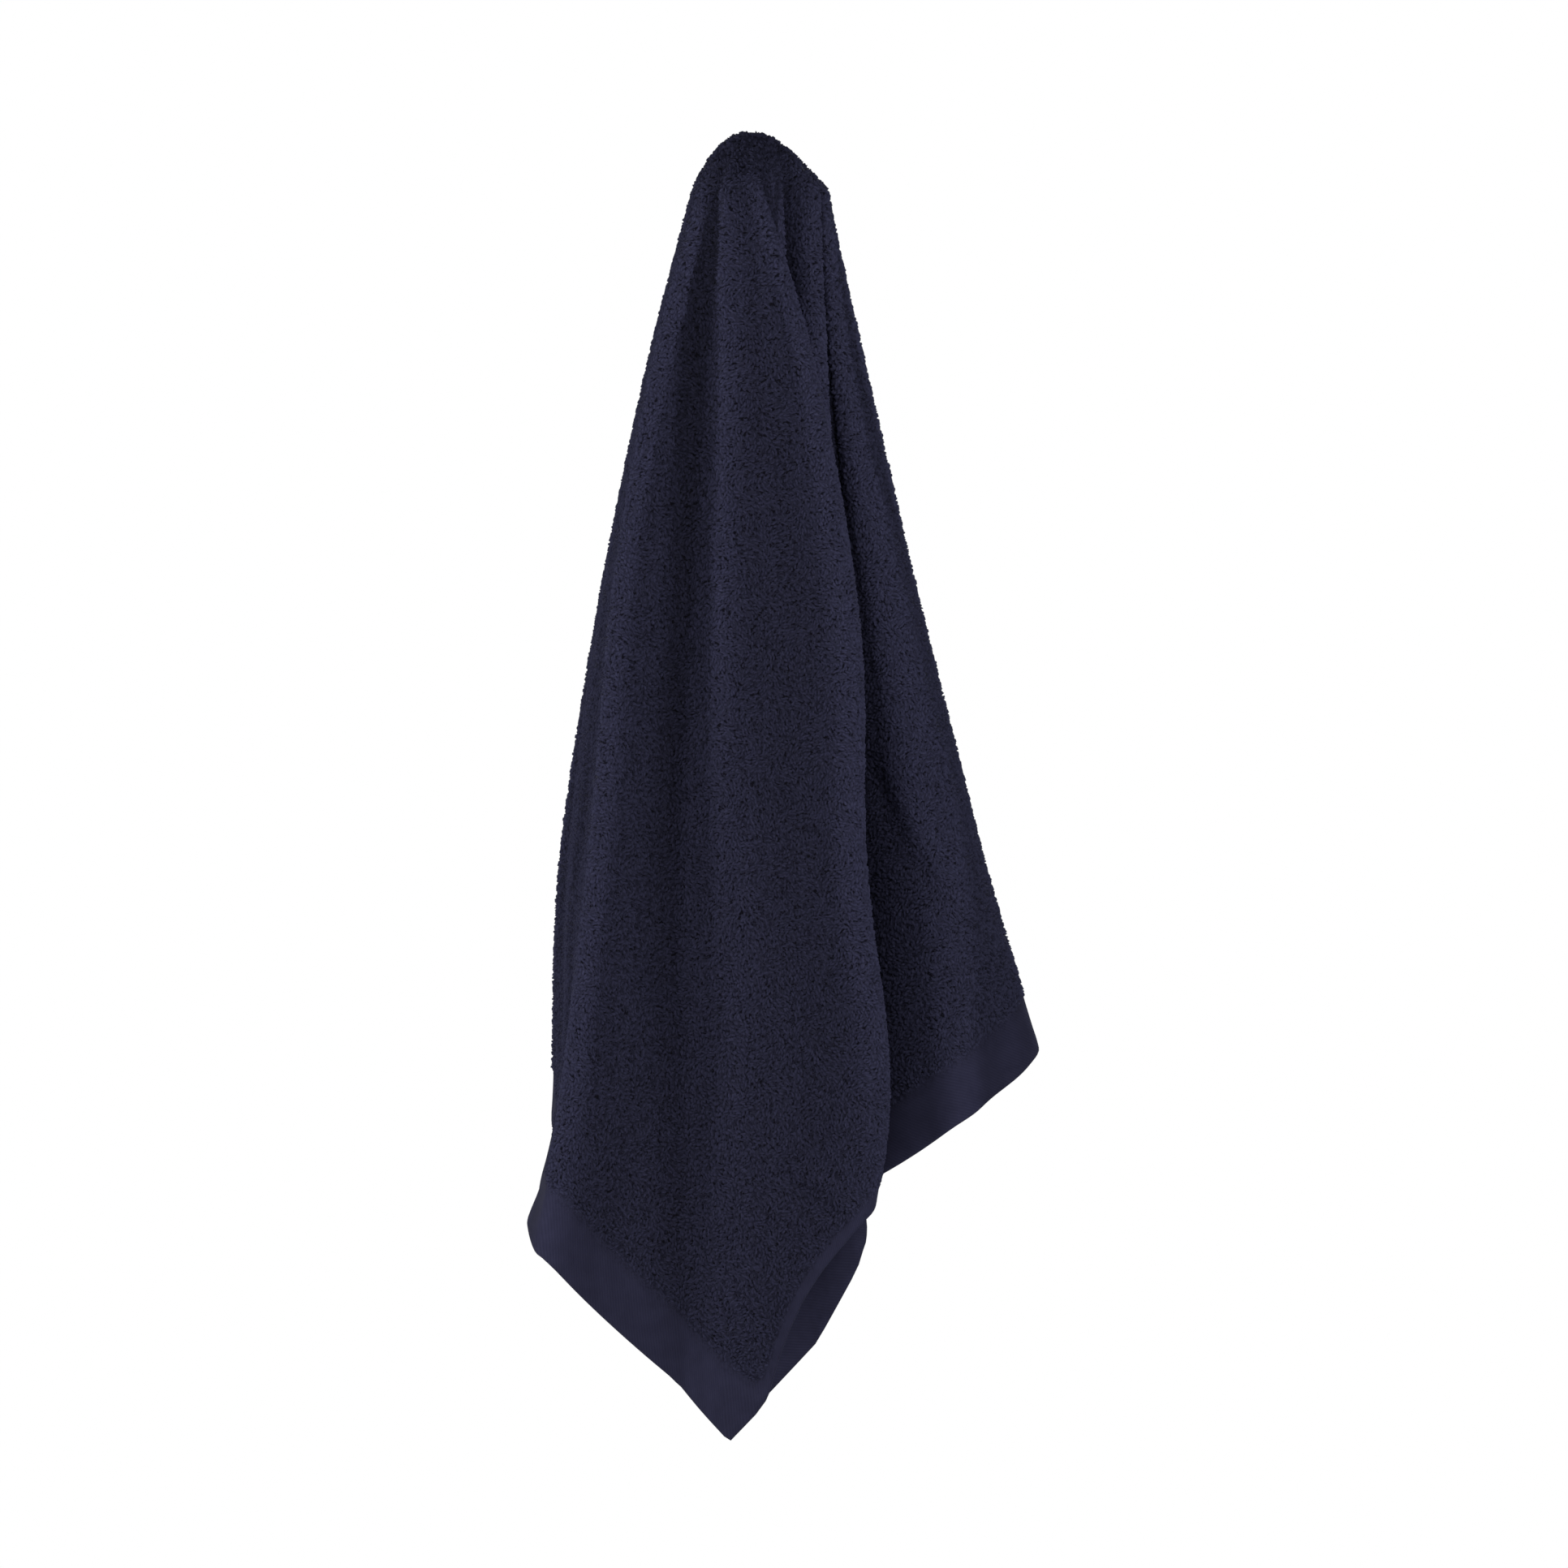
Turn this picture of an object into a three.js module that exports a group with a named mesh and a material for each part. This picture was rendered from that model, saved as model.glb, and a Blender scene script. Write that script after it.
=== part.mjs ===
// A terry hand towel that hangs from one point near the middle of a long side.
// Millimetres, +Z up. The origin is the hanging point, on the top of the crown, and the front faces -Y.
// The towel is one woven sheet. Every fold runs from the crown down to the hem, so the sheet is described
// as a ring of folds, and each fold as the places that it passes on its way down.
import * as THREE from 'three';

// The flat towel, measured from the hanging point to its four edges.
const TO_LEFT_END = 457;
const TO_RIGHT_END = 443;
const TO_FRONT_SIDE = 415;
const TO_BACK_SIDE = 85;

// The woven end bands and the narrow side hems carry no pile.
const END_BAND = 27;
const SIDE_HEM = 8;
const PILE_THICKNESS = 3;
const BAND_THICKNESS = 1.8;
const PILE_STEP = 1;

// How far the sheet hangs below the hanging point at each place that the fold table gives.
const SHOULDER_DROP = 26;
const DROPS = [SHOULDER_DROP, 112, 225, 338, 450, 565];
const LOWEST_DROP = 640;
const CROWN_RADIUS = 28;

// One row for each fold, in the order in which they follow each other round the towel, seen from
// above and starting behind. angle is where the fold runs on the flat towel, in degrees from the line
// to the front side, bend the radius of its turn, and x and y its places at the drops above.
const FOLDS = [
  { name: 'back middle', angle: -180, bend: 0,
    x: [1, 3, 4, 6, 6, 6], y: [29, 43, 54, 60, 62, 62] },
  { name: 'left slit', angle: -140, bend: 0,
    x: [-3, -3, -4, -5, -6, -6], y: [29, 43, 54, 60, 62, 62] },
  { name: 'left edge', angle: -115, bend: 0,
    x: [-6.5, -9, -12, -15, -18, -19], y: [28.5, 43, 54, 57, 58, 58] },
  { name: 'left back corner', angle: -100.5, bend: 0,
    x: [-10, -16, -23, -30, -36, -38], y: [27.5, 45, 62, 70, 72, 72] },
  { name: 'left back ridge', angle: -94, bend: 8,
    x: [-14, -23, -33, -42, -50, -52], y: [25.5, 48, 72, 84, 88, 88] },
  { name: 'left back valley', angle: -86.5, bend: 8,
    x: [-19, -30, -43, -56, -64, -66], y: [21, 31, 42, 46, 48, 48] },
  { name: 'left back swell', angle: -79, bend: 10,
    x: [-24, -41, -58, -72, -78, -80], y: [14, 34, 58, 76, 82, 84] },
  { name: 'left side', angle: -71.6, bend: 14,
    x: [-26, -48, -71, -87.5, -91, -93], y: [3, 12, 26, 38, 44, 46] },
  { name: 'left flare', angle: -60.9, bend: 0,
    x: [-25, -46.5, -67, -78, -87, -130], y: [-6, -4, -6, -8, -12, -20] },
  { name: 'left ridge', angle: -58.1, bend: 4,
    x: [-22, -43, -62.5, -71.5, -84, -104], y: [-14, -22, -32, -37, -38, -35] },
  { name: 'left valley', angle: -50.8, bend: 10,
    x: [-13.5, -25, -32.5, -38.5, -36.5, -34], y: [-20, -16, -18, -18, -22, -31] },
  { name: 'front corner', angle: -47.8, bend: 0,
    x: [-13, -12, -14, -14, -13, -11], y: [-26, -31.5, -38, -41, -42, -40.7] },
  { name: 'front swell', angle: -46.2, bend: 0,
    x: [-6, -4, -4, -4, -6, 6], y: [-29, -33.5, -39.5, -43, -46, -47] },
  { name: 'front panel', angle: -41.8, bend: 0,
    x: [0, 10, 19, 20, 25, 23], y: [-31, -34, -41, -45, -49, -49] },
  { name: 'front fold', angle: -37.4, bend: 11,
    x: [5.5, 27.5, 45, 48, 60.5, 40], y: [-30, -33, -42, -47, -51, -49] },
  { name: 'front fold back', angle: -34.5, bend: 10,
    x: [7, 28.5, 45.5, 48.5, 60.5, 40], y: [-24, -24, -20, -24, -28, -27] },
  { name: 'first inner turn', angle: -14, bend: 4,
    x: [11, 3, -20, -60, -68, -70], y: [-19, -20, -11, 0, 0, 0] },
  { name: 'second inner turn', angle: 9.5, bend: 4,
    x: [13, 19, 30, 40, 53, 53], y: [-15, -13, -5, 3, 5, 5] },
  { name: 'third inner turn', angle: 33, bend: 4,
    x: [13.5, 5, -16, -58, -64, -68], y: [-11, -3, 9, 20, 21, 21] },
  { name: 'inner corner', angle: 46.9, bend: 0,
    x: [15, 14, 18, 6, -1, -2], y: [-9, 3, 15, 25, 25, 25] },
  { name: 'inner panel', angle: 50.6, bend: 0,
    x: [18.5, 20, 29, 28, 27, 30], y: [-10, 0, 13, 23, 23, 23] },
  { name: 'second ridge', angle: 56, bend: 5,
    x: [29.5, 30.5, 36.5, 40, 44, 60], y: [-12, -14, 3, 14, 16, 18] },
  { name: 'right valley', angle: 61.4, bend: 5,
    x: [31.3, 33, 43, 50, 60, 42], y: [-6, 7, 26, 40, 39, 36] },
  { name: 'right swell', angle: 67.2, bend: 14,
    x: [34.5, 43, 66, 89, 99, 106], y: [1, 3, 8, 9, 16, 28] },
  { name: 'right side', angle: 75, bend: 10,
    x: [34, 53, 79, 108, 141, 168], y: [10, 19, 34, 54, 58, 58] },
  { name: 'right back swell', angle: 82, bend: 10,
    x: [30, 47, 68, 92, 106, 112], y: [16, 36, 60, 80, 88, 90] },
  { name: 'right back valley', angle: 88.5, bend: 8,
    x: [23, 35, 54, 74, 84, 86], y: [20, 32, 46, 54, 58, 60] },
  { name: 'right back ridge', angle: 95, bend: 8,
    x: [18, 29, 44, 58, 68, 70], y: [24, 47, 72, 84, 88, 88] },
  { name: 'right back corner', angle: 100.8, bend: 0,
    x: [13.5, 22, 32, 44, 52, 54], y: [26, 45, 62, 69, 71, 71] },
  { name: 'right edge', angle: 115, bend: 0,
    x: [9, 15, 20, 27, 30, 30], y: [28, 43, 54, 57, 58, 58] },
  { name: 'right slit', angle: 140, bend: 0,
    x: [5, 9, 12, 17, 18, 18], y: [29, 43, 54, 60, 62, 62] },
];

// Columns across a turn, and between one turn and the next.
const TURN_SAMPLES = 3;
const PANEL_SAMPLES = 1;

// Rows: the lengths from the hanging point at which the crown's lie, then how many the pile has.
const CROWN_ROWS = [5, 11, 18, 26, 36];
const PILE_ROWS = 17;

// The drops between the rings that each column's length is measured over.
const RING_STEP = 5;
const CROWN_RINGS = 12;

// A fold turns through its full bend from this many radians on. The room for a bend is a share of the
// shorter leg beside it.
const FULL_TURN = 0.3;
const WIDE_TURN_ROOM = 0.42;
const TIGHT_TURN_ROOM = 0.22;
const STEEPEST_LEAN = 0.95;
const SMALL_SINE = 0.01;

// Above this drop the folds are smoothed, most at the shoulder.
const SOFT_DROP = 90;
const SOFT_PASSES = 6;
const SOFT_SHARE = 0.5;

const towelMaterial = new THREE.MeshStandardMaterial({
  color: 0x1c1b36,
  roughness: 0.95,
  metalness: 0,
});

const radians = THREE.MathUtils.degToRad;

// The way round from one direction to another, between minus and plus half a turn.
function turnBetween(from, to) {
  const turn = to - from;
  return turn - 2 * Math.PI * Math.round(turn / (2 * Math.PI));
}

// A smooth curve through a row's values at the drops, straight below the last one.
function valueAt(values, drop) {
  const last = DROPS.length - 1;
  if (drop >= DROPS[last]) {
    const slope = (values[last] - values[last - 1]) / (DROPS[last] - DROPS[last - 1]);
    return values[last] + slope * (drop - DROPS[last]);
  }
  const i = Math.max(DROPS.findIndex((d) => d > drop) - 1, 0);
  const slopeAt = (k) => {
    const a = Math.max(k - 1, 0);
    const b = Math.min(k + 1, last);
    return (values[b] - values[a]) / (DROPS[b] - DROPS[a]);
  };
  const span = DROPS[i + 1] - DROPS[i];
  const t = (drop - DROPS[i]) / span;
  const early = (1 + 2 * t) * (1 - t) * (1 - t) * values[i] + t * (1 - t) * (1 - t) * span * slopeAt(i);
  const late = t * t * (3 - 2 * t) * values[i + 1] - t * t * (1 - t) * span * slopeAt(i + 1);
  return early + late;
}

// Where a fold passes at a drop below the shoulder.
function foldPoint(fold, drop) {
  return new THREE.Vector2(valueAt(fold.x, drop), valueAt(fold.y, drop));
}

// Near the crown the folds are still shallow and soft, so each point there is drawn between its
// neighbours, less and less on the way down.
function softened(ring, drop) {
  const share = SOFT_SHARE * THREE.MathUtils.clamp((SOFT_DROP - drop) / (SOFT_DROP - SHOULDER_DROP), 0, 1);
  let soft = ring;
  for (let pass = 0; pass < SOFT_PASSES; pass += 1) {
    soft = soft.map((place, c) => {
      const between = soft[(c + ring.length - 1) % ring.length].clone();
      between.lerp(soft[(c + 1) % ring.length], 0.5);
      return place.clone().lerp(between, share);
    });
  }
  return soft;
}

// The towel's outline at one drop: a line that runs round a circle at each fold and straight between.
function ringAt(drop) {
  const points = FOLDS.map((fold) => foldPoint(fold, drop));
  const count = points.length;
  const next = (i) => (i + 1) % count;
  const before = (i) => (i + count - 1) % count;
  const legs = points.map((p, i) => points[next(i)].clone().sub(p));
  const turns = legs.map((leg, i) => turnBetween(legs[before(i)].angle(), leg.angle()));
  const radii = turns.map((turn, i) => {
    const leg = Math.min(legs[i].length(), legs[before(i)].length());
    const half = Math.max(Math.abs(Math.sin(turn / 2)), SMALL_SINE);
    const room = leg * Math.min(WIDE_TURN_ROOM / half, TIGHT_TURN_ROOM / half ** 2);
    return Math.tanh(turn / FULL_TURN) * Math.min(FOLDS[i].bend, room);
  });
  const centres = points.map((p, i) => {
    const middle = legs[before(i)].angle() + turns[i] / 2;
    return new THREE.Vector2(p.x - radii[i] * Math.sin(middle), p.y + radii[i] * Math.cos(middle));
  });
  const headings = centres.map((c, i) => {
    const across = centres[next(i)].clone().sub(c);
    const lean = (radii[next(i)] - radii[i]) / across.length();
    return across.angle() - Math.asin(THREE.MathUtils.clamp(lean, -STEEPEST_LEAN, STEEPEST_LEAN));
  });
  const onCircle = (i, heading) =>
    new THREE.Vector2(
      centres[i].x + radii[i] * Math.sin(heading),
      centres[i].y - radii[i] * Math.cos(heading),
    );
  const ring = [];
  points.forEach((p, i) => {
    const arrive = headings[before(i)];
    const swing = turnBetween(arrive, headings[i]);
    const turn = turns[i] + turnBetween(turns[i], swing);
    const samples = FOLDS[i].bend > 0 ? TURN_SAMPLES : 1;
    for (let k = 0; k < samples; k += 1) {
      const share = samples > 1 ? k / (samples - 1) : 0.5;
      ring.push(onCircle(i, arrive + share * turn));
    }
    const start = onCircle(i, headings[i]);
    const end = onCircle(next(i), headings[i]);
    for (let k = 1; k <= PANEL_SAMPLES; k += 1) {
      ring.push(start.clone().lerp(end, k / (PANEL_SAMPLES + 1)));
    }
  });
  return softened(ring, drop);
}

// The outline above the shoulder, where the folds fade out into the round crown.
function crownRing(drop, shoulder) {
  const reach = Math.sqrt(drop / SHOULDER_DROP);
  return shoulder.map((place) => {
    const radius = place.length();
    const risen = CROWN_RADIUS * reach + (radius - CROWN_RADIUS) * reach ** 3;
    return place.clone().multiplyScalar(risen / radius);
  });
}

// Each column's angle on the flat towel: the table's at the middle of a turn, and between two turns
// shared out by the lengths that the ring has there near the hem.
function columnAngles() {
  const marks = [];
  let column = 0;
  FOLDS.forEach((fold) => {
    const samples = fold.bend > 0 ? TURN_SAMPLES : 1;
    marks.push(column + (samples - 1) / 2);
    column += samples + PANEL_SAMPLES;
  });
  const total = column;
  const angles = new Array(total).fill(0);
  marks.forEach((mark, i) => {
    const wraps = i + 1 === marks.length;
    const end = wraps ? marks[0] + total : marks[i + 1];
    const startAngle = FOLDS[i].angle;
    const endAngle = wraps ? FOLDS[0].angle + 360 : FOLDS[i + 1].angle;
    const hemDrop = reachAt(radians((startAngle + endAngle) / 2), END_BAND, SIDE_HEM);
    const ring = ringAt(hemDrop);
    const lengths = [0];
    for (let k = mark; k < end; k += 1) {
      lengths.push(lengths[k - mark] + ring[k % total].distanceTo(ring[(k + 1) % total]));
    }
    lengths.forEach((length, k) => {
      const share = length / lengths[lengths.length - 1];
      angles[(mark + k) % total] = radians(startAngle + share * (endAngle - startAngle));
    });
  });
  return angles;
}

// How far the flat towel reaches from the hanging point at an angle, with its edges drawn in by a trim.
function reachAt(angle, endTrim, sideTrim) {
  const sides = [
    { at: -90, distance: TO_LEFT_END - endTrim },
    { at: 90, distance: TO_RIGHT_END - endTrim },
    { at: 0, distance: TO_FRONT_SIDE - sideTrim },
    { at: 180, distance: TO_BACK_SIDE - sideTrim },
  ];
  const reaches = sides.map(({ at, distance }) => {
    const facing = Math.cos(angle - radians(at));
    return facing > SMALL_SINE ? distance / facing : Infinity;
  });
  return Math.min(...reaches);
}

// The drops at which the rings are laid, closer together over the round crown.
function ringDrops() {
  const drops = [];
  for (let k = 0; k < CROWN_RINGS; k += 1) {
    drops.push(SHOULDER_DROP * (k / CROWN_RINGS) ** 2);
  }
  for (let drop = SHOULDER_DROP; drop <= LOWEST_DROP; drop += RING_STEP) {
    drops.push(drop);
  }
  return drops;
}

// The grid of points on the middle of the sheet: rows from the crown to the hem, columns round it.
function sheetGrid() {
  const angles = columnAngles();
  const drops = ringDrops();
  const shoulder = ringAt(SHOULDER_DROP);
  const rings = drops.map((drop) => (drop < SHOULDER_DROP ? crownRing(drop, shoulder) : ringAt(drop)));
  return angles.map((angle, column) => {
    const path = drops.map((drop, i) => new THREE.Vector3(rings[i][column].x, rings[i][column].y, -drop));
    const along = [0];
    for (let i = 1; i < path.length; i += 1) {
      along.push(along[i - 1] + path[i].distanceTo(path[i - 1]));
    }
    const pointAt = (length) => {
      const i = Math.min(Math.max(along.findIndex((a) => a >= length), 1), along.length - 1);
      const share = (length - along[i - 1]) / (along[i] - along[i - 1]);
      return path[i - 1].clone().lerp(path[i], share);
    };
    const pileEnd = reachAt(angle, END_BAND, SIDE_HEM);
    const hem = reachAt(angle, 0, 0);
    const points = [];
    CROWN_ROWS.forEach((length) => {
      points.push({ at: pointAt(length), thickness: PILE_THICKNESS });
    });
    const crownEnd = CROWN_ROWS[CROWN_ROWS.length - 1];
    for (let row = 1; row <= PILE_ROWS; row += 1) {
      const length = crownEnd + ((pileEnd - crownEnd) * row) / PILE_ROWS;
      points.push({ at: pointAt(length), thickness: PILE_THICKNESS });
    }
    points.push({ at: pointAt(pileEnd + PILE_STEP), thickness: BAND_THICKNESS });
    points.push({ at: pointAt(hem), thickness: BAND_THICKNESS });
    return points;
  });
}

// The outward direction of the sheet at each point of the grid.
function sheetNormals(grid) {
  const columns = grid.length;
  const rows = grid[0].length;
  return grid.map((points, c) =>
    points.map((point, r) => {
      const toLeft = point.at.clone().sub(grid[(c + columns - 1) % columns][r].at).normalize();
      const toRight = grid[(c + 1) % columns][r].at.clone().sub(point.at).normalize();
      const above = r > 0 ? points[r - 1].at : new THREE.Vector3(0, 0, 0);
      const below = r + 1 < rows ? points[r + 1].at : point.at;
      const down = below.clone().sub(above);
      return down.cross(toLeft.add(toRight)).normalize();
    }),
  );
}

// The closed body of the sheet: an outer face, an inner face and the hem that joins them.
function sheetGeometry() {
  const grid = sheetGrid();
  const normals = sheetNormals(grid);
  const columns = grid.length;
  const rows = grid[0].length;
  const positions = [];
  [0.5, -0.5].forEach((side) => {
    positions.push(0, 0, (side - 0.5) * PILE_THICKNESS);
    grid.forEach((points, c) => {
      points.forEach(({ at, thickness }, r) => {
        const place = at.clone().addScaledVector(normals[c][r], side * thickness);
        positions.push(place.x, place.y, place.z - PILE_THICKNESS / 2);
      });
    });
  });
  const faceStart = 1 + columns * rows;
  const vertex = (face, c, r) => face * faceStart + 1 + (c % columns) * rows + r;
  const triangles = [];
  const addTriangle = (face, a, b, c) => {
    triangles.push(...(face === 0 ? [a, b, c] : [a, c, b]));
  };
  [0, 1].forEach((face) => {
    for (let c = 0; c < columns; c += 1) {
      addTriangle(face, face * faceStart, vertex(face, c, 0), vertex(face, c + 1, 0));
      for (let r = 0; r + 1 < rows; r += 1) {
        const a = vertex(face, c, r);
        const b = vertex(face, c, r + 1);
        const d = vertex(face, c + 1, r + 1);
        const e = vertex(face, c + 1, r);
        addTriangle(face, a, b, d);
        addTriangle(face, a, d, e);
      }
    }
  });
  for (let c = 0; c < columns; c += 1) {
    const outer = vertex(0, c, rows - 1);
    const outerNext = vertex(0, c + 1, rows - 1);
    const inner = vertex(1, c, rows - 1);
    const innerNext = vertex(1, c + 1, rows - 1);
    triangles.push(outer, inner, innerNext);
    triangles.push(outer, innerNext, outerNext);
  }
  const geometry = new THREE.BufferGeometry();
  geometry.setAttribute('position', new THREE.Float32BufferAttribute(positions, 3));
  geometry.setIndex(triangles);
  geometry.computeVertexNormals();
  return geometry;
}

const towel = new THREE.Mesh(sheetGeometry(), towelMaterial);
towel.name = 'towel';

const part = new THREE.Group();
part.add(towel);

export default part;
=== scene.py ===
import bpy
import math
import numpy as np
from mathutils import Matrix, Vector
from mathutils.bvhtree import BVHTree


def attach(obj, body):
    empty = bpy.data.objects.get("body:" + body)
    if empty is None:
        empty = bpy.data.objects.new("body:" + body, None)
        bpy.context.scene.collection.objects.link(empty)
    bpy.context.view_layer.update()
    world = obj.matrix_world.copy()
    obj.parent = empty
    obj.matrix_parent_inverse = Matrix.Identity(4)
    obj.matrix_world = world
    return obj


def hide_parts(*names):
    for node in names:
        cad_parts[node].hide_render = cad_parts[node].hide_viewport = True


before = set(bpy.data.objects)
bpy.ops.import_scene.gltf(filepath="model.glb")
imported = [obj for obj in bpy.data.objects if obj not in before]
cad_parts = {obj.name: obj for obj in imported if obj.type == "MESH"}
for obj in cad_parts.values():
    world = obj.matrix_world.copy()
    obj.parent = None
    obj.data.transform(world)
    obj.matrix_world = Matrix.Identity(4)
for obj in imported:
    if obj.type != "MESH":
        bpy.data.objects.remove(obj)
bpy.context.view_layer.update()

MM = 0.001

# The flat towel, in millimetres from the hanging point to its four edges, and its trims.
TO_LEFT_END = 457
TO_RIGHT_END = 443
TO_FRONT_SIDE = 415
TO_BACK_SIDE = 85
END_BAND = 27
SIDE_HEM = 8
GROUND_THICKNESS = 1.5

# The middle of the sheet lies this far below the hanging point, which is at the top of the pile.
SHEET_MIDDLE = np.array([0, 0, -1.5])

# Drops are heights below the hanging point: the crown's lower end, those at which the folds' places are
# given, and one below the last outline. The crown starts as a round dome, which would have this radius at its
# lower end, and passes into the folds.
SHOULDER_DROP = 26
DROPS = np.array([SHOULDER_DROP, 112, 225, 338, 450, 565], float)
LOWEST_DROP = 640
CROWN_RADIUS = 28

# One row for each fold, seen from above and starting behind: its name, its angle on the flat towel, the
# radius of its turn, how far apart its columns lie on the way to the next fold, and its places in x and in
# y at the drops above.
FOLDS = [
    ("back middle", -180, 0, 4, (1, 3, 4, 6, 6, 6), (29, 43, 54, 60, 62, 62)),
    ("left slit", -140, 0, 4, (-3, -3, -4, -5, -6, -6), (29, 43, 54, 60, 62, 62)),
    ("left edge", -115, 0, 4, (-6.5, -9, -12, -15, -18, -19), (28.5, 43, 54, 57, 58, 58)),
    ("left back corner", -100.5, 0, 4, (-10, -16, -23, -30, -36, -38), (27.5, 45, 62, 70, 72, 72)),
    ("left back ridge", -94, 8, 4, (-14, -23, -33, -42, -50, -52), (25.5, 48, 72, 84, 88, 88)),
    ("left back valley", -86.5, 8, 4, (-19, -30, -43, -56, -64, -66), (21, 31, 42, 46, 48, 48)),
    ("left back swell", -79, 10, 4, (-24, -41, -58, -72, -78, -80), (14, 34, 58, 76, 82, 84)),
    ("left side", -71.6, 14, 3, (-26, -48, -71, -87.5, -91, -93), (3, 12, 26, 38, 44, 46)),
    ("left flare", -60.9, 0, 2.2, (-25, -46.5, -67, -78, -87, -130), (-6, -4, -6, -8, -12, -20)),
    ("left ridge", -58.1, 4, 2.4, (-22, -43, -62.5, -71.5, -84, -104), (-14, -22, -32, -37, -38, -35)),
    ("left valley", -50.8, 10, 2.4, (-13.5, -25, -32.5, -38.5, -36.5, -34), (-20, -16, -18, -18, -22, -31)),
    ("front corner", -47.8, 0, 2.4, (-13, -12, -14, -14, -13, -11), (-26, -31.5, -38, -41, -42, -40.7)),
    ("front swell", -46.2, 0, 3, (-6, -4, -4, -4, -6, 6), (-29, -33.5, -39.5, -43, -46, -47)),
    ("front panel", -41.8, 0, 3, (0, 10, 19, 20, 25, 23), (-31, -34, -41, -45, -49, -49)),
    ("front fold", -37.4, 11, 2.4, (3.5, 27.5, 45, 48, 60.5, 40), (-30, -33, -42, -47, -51, -49)),
    ("front fold back", -34.5, 10, 5, (4.5, 28.5, 45.5, 48.5, 60.5, 40), (-24, -24, -20, -24, -28, -27)),
    ("first inner turn", -14, 4, 6, (11, 3, -20, -60, -68, -70), (-19, -20, -11, 0, 0, 0)),
    ("second inner turn", 9.5, 4, 6, (13, 19, 30, 40, 53, 53), (-15, -13, -5, 3, 5, 5)),
    ("third inner turn", 33, 4, 4, (13.5, 5, -16, -58, -64, -68), (-11, -3, 9, 20, 21, 21)),
    ("inner corner", 46.9, 0, 4, (15, 14, 18, 6, -1, -2), (-8.8, 6, 15, 25, 25, 25)),
    ("inner panel", 50.6, 0, 3, (18.5, 20, 29, 28, 27, 30), (-9.6, 5, 14, 23, 23, 23)),
    ("second ridge", 56, 5, 2.4, (29, 30, 36.5, 40, 44, 60), (-12, -14, 3, 14, 16, 18)),
    ("right valley", 61.4, 4, 2.4, (31, 34, 43, 50, 60, 42), (-4, 9, 26, 40, 39, 36)),
    ("right swell", 67.2, 14, 2.4, (34.5, 43, 66, 89, 99, 106), (1, 3, 8, 9, 16, 28)),
    ("right side", 75, 10, 4, (34, 53, 79, 108, 141, 168), (10, 19, 34, 54, 58, 58)),
    ("right back swell", 82, 10, 4, (30, 47, 68, 92, 106, 112), (16, 36, 60, 80, 88, 90)),
    ("right back valley", 88.5, 8, 4, (23, 35, 54, 74, 84, 86), (20, 32, 46, 54, 58, 60)),
    ("right back ridge", 95, 8, 4, (18, 29, 44, 58, 68, 70), (24, 47, 72, 84, 88, 88)),
    ("right back corner", 100.8, 0, 4, (13.5, 22, 32, 44, 52, 54), (26, 45, 62, 69, 71, 71)),
    ("right edge", 115, 0, 4, (9, 15, 20, 27, 30, 30), (28, 43, 54, 57, 58, 58)),
    ("right slit", 140, 0, 4, (5, 9, 12, 17, 18, 18), (29, 43, 54, 60, 62, 62)),
]
BENDS = np.array([fold[2] for fold in FOLDS], float)
SPACINGS = [fold[3] for fold in FOLDS]
XS = np.array([fold[4] for fold in FOLDS], float)
YS = np.array([fold[5] for fold in FOLDS], float)
ANGLES = np.radians([fold[1] for fold in FOLDS])

# The rows of the sheet: the crown's lengths from the hanging point, how many follow in the pile, and those
# of the bare edge as shares of its width, with half the weave's thickness at each.
CROWN_LENGTHS = [2.5, 5, 8, 11, 14.5, 18, 22, 26, 31, 36]
PILE_ROWS = 104
BAND_SHARES = [0.2, 0.4, 0.6, 0.8, 0.93, 0.98, 1.0]
BAND_HALF_THICKNESS = [0.75, 0.8, 0.9, 1.15, 1.1, 0.75, 0.3]
PILE_END_ROW = len(CROWN_LENGTHS) + PILE_ROWS - 1

# Outlines are drawn at this many drops in the crown and at every RING_STEP below it, and the rows are
# measured off down them. The columns are shared out by the folds' lengths at SPACING_DROP.
CROWN_RINGS = 16
RING_STEP = 4
SPACING_DROP = 400
LEAST_COLUMNS = 3
TURN_POINTS = 9

# A turn well over SLIGHT_TURN radians has its fold's full radius, and a slighter one less. The room for a
# radius is these shares of the shorter leg beside it, over the sine of half the turn and over its square.
SLIGHT_TURN = 0.3
SLIGHT_TURN_ROOM = 0.42
SHARP_TURN_ROOM = 0.22
STEEPEST_LEAN = 0.95

# Sines, cosines and squared widths that are divided by are held to at least this.
NEAR_ZERO = 0.01

# Every outline is smoothed once, and more above this drop, most at the shoulder.
SOFT_DROP = 90
SOFT_PASSES = 14
SOFT_SHARE = 0.5

rng = np.random.default_rng(7)


def unit(v):
    return v / np.maximum(np.linalg.norm(v, axis=-1, keepdims=True), 1e-9)


def halfway(values):
    """The values drawn half way to the mean of their neighbours round the towel."""
    return 0.5 * values + 0.25 * (np.roll(values, 1, 0) + np.roll(values, -1, 0))


def wrapped(angle):
    return angle - 2 * np.pi * np.round(angle / (2 * np.pi))


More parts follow.
